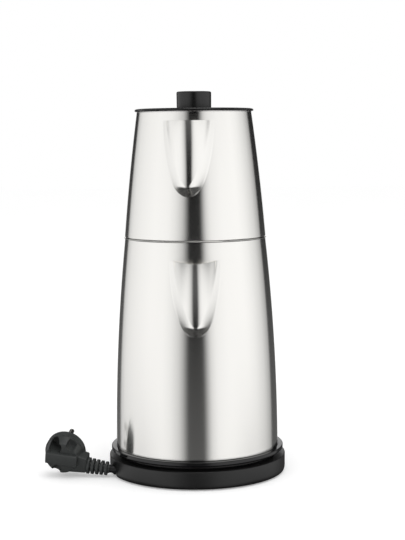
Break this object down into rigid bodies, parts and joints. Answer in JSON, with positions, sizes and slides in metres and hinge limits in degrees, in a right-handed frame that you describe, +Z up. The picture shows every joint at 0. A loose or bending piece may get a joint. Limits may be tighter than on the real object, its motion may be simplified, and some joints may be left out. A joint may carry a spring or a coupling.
{
  "type": "electric tea maker",
  "caption": "Brushed steel teapot with a black lid standing on a brushed steel electric kettle and a round black power base with a mains lead and plug.",
  "frame": {"origin": "centre of the rubber foot ring, on the plane that the base stands on", "axes": "+Z up along the axis of both pots, spouts towards -Y, handles towards +Y (the teapot is turned 5.5 degrees, its spout towards -X), the lead leaves towards -X"},
  "size_m": [0.2295, 0.2104, 0.3623],
  "materials": {
    "steel_brushed": "satin, fine horizontal brushing",
    "steel_plain": "smooth satin",
    "screw_steel": "zinc plated",
    "element_steel": "heat-tinted",
    "aluminium": "as rolled",
    "brass": "polished",
    "nickel": "polished",
    "base_black": "satin moulded",
    "inner_black": "moulded",
    "gloss_black": "high gloss",
    "lid_black": "semi gloss",
    "handle_black": "satin moulded",
    "lever_black": "satin moulded",
    "thermostat_cream": "moulded",
    "lamp_red": "clear red",
    "rubber": "matt",
    "lead_sheath": "matt",
    "plug_rubber": "fine matt grain"
  },
  "bodies": {
    "base": {"base_cover": "base_black", "cord_winder": "base_black", "base_connector": "inner_black", "contact_rings": "brass", "rubber_foot": "rubber", "base_screws": "screw_steel", "cord_gland": "rubber", "cord_coil": "lead_sheath", "cord_lead": "lead_sheath", "plug_body": "plug_rubber", "plug_relief": "plug_rubber", "plug_contacts": "nickel", "plug_earth_clips": "nickel"},
    "kettle": {"kettle_shell": "steel_brushed", "kettle_spout": "steel_brushed", "kettle_floor": "steel_plain", "heat_spreader": "aluminium", "heating_element": "element_steel", "thermostat": "thermostat_cream", "kettle_socket": "inner_black", "kettle_skirt": "gloss_black", "kettle_underside": "inner_black", "underside_screws": "screw_steel", "kettle_handle": "handle_black", "kettle_brackets": "steel_plain", "kettle_handle_screws": "screw_steel", "switch_housing": "handle_black", "lever_pin": "screw_steel", "lamp_lens": "lamp_red"},
    "teapot": {"teapot_shell": "steel_brushed", "teapot_spout": "steel_brushed", "teapot_floor": "steel_plain", "teapot_handle": "handle_black", "teapot_brackets": "steel_plain", "teapot_handle_screws": "screw_steel"},
    "strainer": {"tea_strainer": "steel_plain"},
    "lid": {"lid_plate": "lid_black", "lid_collar": "steel_plain", "lid_knob": "lid_black", "knob_screw": "screw_steel"},
    "switch": {"switch_lever": "lever_black"}
  },
  "joints": [
    {"name": "kettle_lift", "type": "slide", "parent": "base", "child": "kettle", "axis": [0, 0, 1], "range_m": [0, 0.06]},
    {"name": "teapot_lift", "type": "slide", "parent": "kettle", "child": "teapot", "axis": [0, 0, 1], "range_m": [0, 0.06]},
    {"name": "strainer_lift", "type": "slide", "parent": "teapot", "child": "strainer", "axis": [0, 0, 1], "range_m": [0, 0.09]},
    {"name": "lid_lift", "type": "slide", "parent": "strainer", "child": "lid", "axis": [0, 0, 1], "range_m": [0, 0.05]},
    {"name": "switch_tilt", "type": "hinge", "parent": "kettle", "child": "switch", "pos_m": [0, 0.0895, 0.0457], "axis": [1, 0, 0], "range_deg": [0, 18]}
  ]
}
